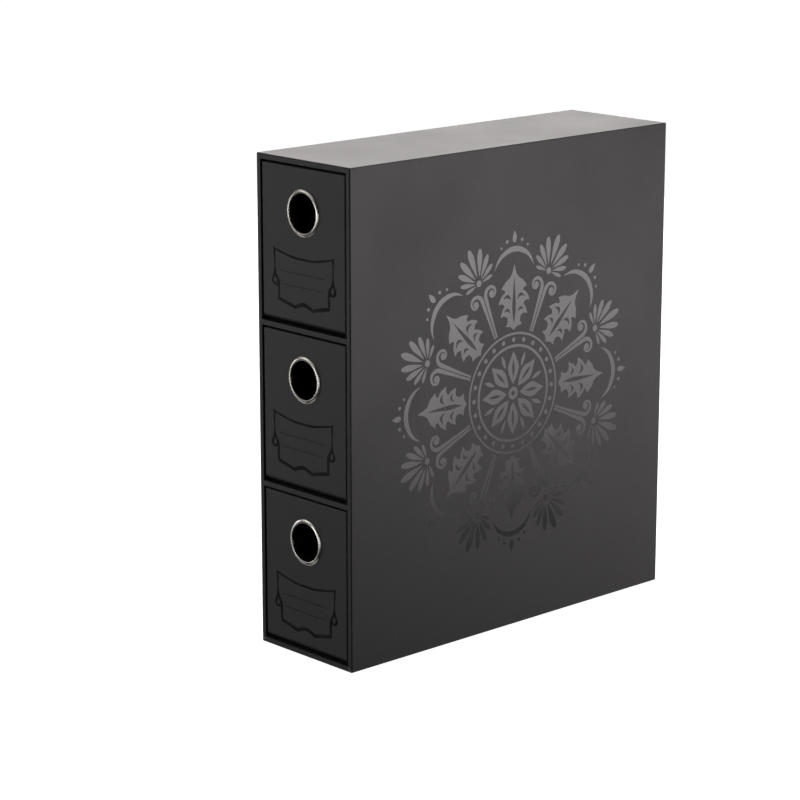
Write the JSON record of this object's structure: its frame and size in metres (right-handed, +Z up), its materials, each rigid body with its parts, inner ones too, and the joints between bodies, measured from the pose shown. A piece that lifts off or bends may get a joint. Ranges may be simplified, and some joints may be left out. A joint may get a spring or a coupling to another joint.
{
  "type": "trading card drawer box",
  "caption": "Tall, narrow paper-covered board case with drawers one above the other for rows of trading cards, each pulled out by an eyeleted finger hole.",
  "frame": {"origin": "middle of the case's underside, on the surface it stands on", "axes": "+Z up, +X to the case's right as seen from the drawers' side (the decorated side), drawers open towards -Y"},
  "size_m": [0.095, 0.3106, 0.349],
  "materials": {
    "greyboard": "matte",
    "covering_paper": "satin",
    "lining_paper": "matte",
    "nickel_eyelet": "polished",
    "steel_washer": "satin"
  },
  "bodies": {
    "case": {"case_left_board": "greyboard", "case_right_board": "greyboard", "case_top_board": "greyboard", "case_back_board": "greyboard", "case_bottom_board": "greyboard", "lower_shelf_board": "greyboard", "upper_shelf_board": "greyboard", "case_outer_wrap": "covering_paper", "case_base_sheet": "covering_paper", "case_back_sheet": "covering_paper", "lower_shelf_edge_wrap": "covering_paper", "upper_shelf_edge_wrap": "covering_paper", "bottom_bay_lining": "lining_paper", "middle_bay_lining": "lining_paper", "top_bay_lining": "lining_paper"},
    "bottom_drawer": {"bottom_drawer_base_board": "greyboard", "bottom_drawer_left_side": "greyboard", "bottom_drawer_right_side": "greyboard", "bottom_drawer_back_board": "greyboard", "bottom_drawer_front_board": "greyboard", "bottom_drawer_tray_wrap": "covering_paper", "bottom_drawer_lining": "lining_paper", "bottom_drawer_face_board": "greyboard", "bottom_drawer_face_wrap": "covering_paper", "bottom_drawer_eyelet": "nickel_eyelet", "bottom_drawer_eyelet_washer": "steel_washer"},
    "middle_drawer": {"middle_drawer_base_board": "greyboard", "middle_drawer_left_side": "greyboard", "middle_drawer_right_side": "greyboard", "middle_drawer_back_board": "greyboard", "middle_drawer_front_board": "greyboard", "middle_drawer_tray_wrap": "covering_paper", "middle_drawer_lining": "lining_paper", "middle_drawer_face_board": "greyboard", "middle_drawer_face_wrap": "covering_paper", "middle_drawer_eyelet": "nickel_eyelet", "middle_drawer_eyelet_washer": "steel_washer"},
    "top_drawer": {"top_drawer_base_board": "greyboard", "top_drawer_left_side": "greyboard", "top_drawer_right_side": "greyboard", "top_drawer_back_board": "greyboard", "top_drawer_front_board": "greyboard", "top_drawer_tray_wrap": "covering_paper", "top_drawer_lining": "lining_paper", "top_drawer_face_board": "greyboard", "top_drawer_face_wrap": "covering_paper", "top_drawer_eyelet": "nickel_eyelet", "top_drawer_eyelet_washer": "steel_washer"}
  },
  "joints": [
    {"name": "bottom_drawer_slide", "type": "slide", "parent": "case", "child": "bottom_drawer", "axis": [0, -1, 0], "range_m": [0, 0.27]},
    {"name": "middle_drawer_slide", "type": "slide", "parent": "case", "child": "middle_drawer", "axis": [0, -1, 0], "range_m": [0, 0.27]},
    {"name": "top_drawer_slide", "type": "slide", "parent": "case", "child": "top_drawer", "axis": [0, -1, 0], "range_m": [0, 0.27]}
  ]
}
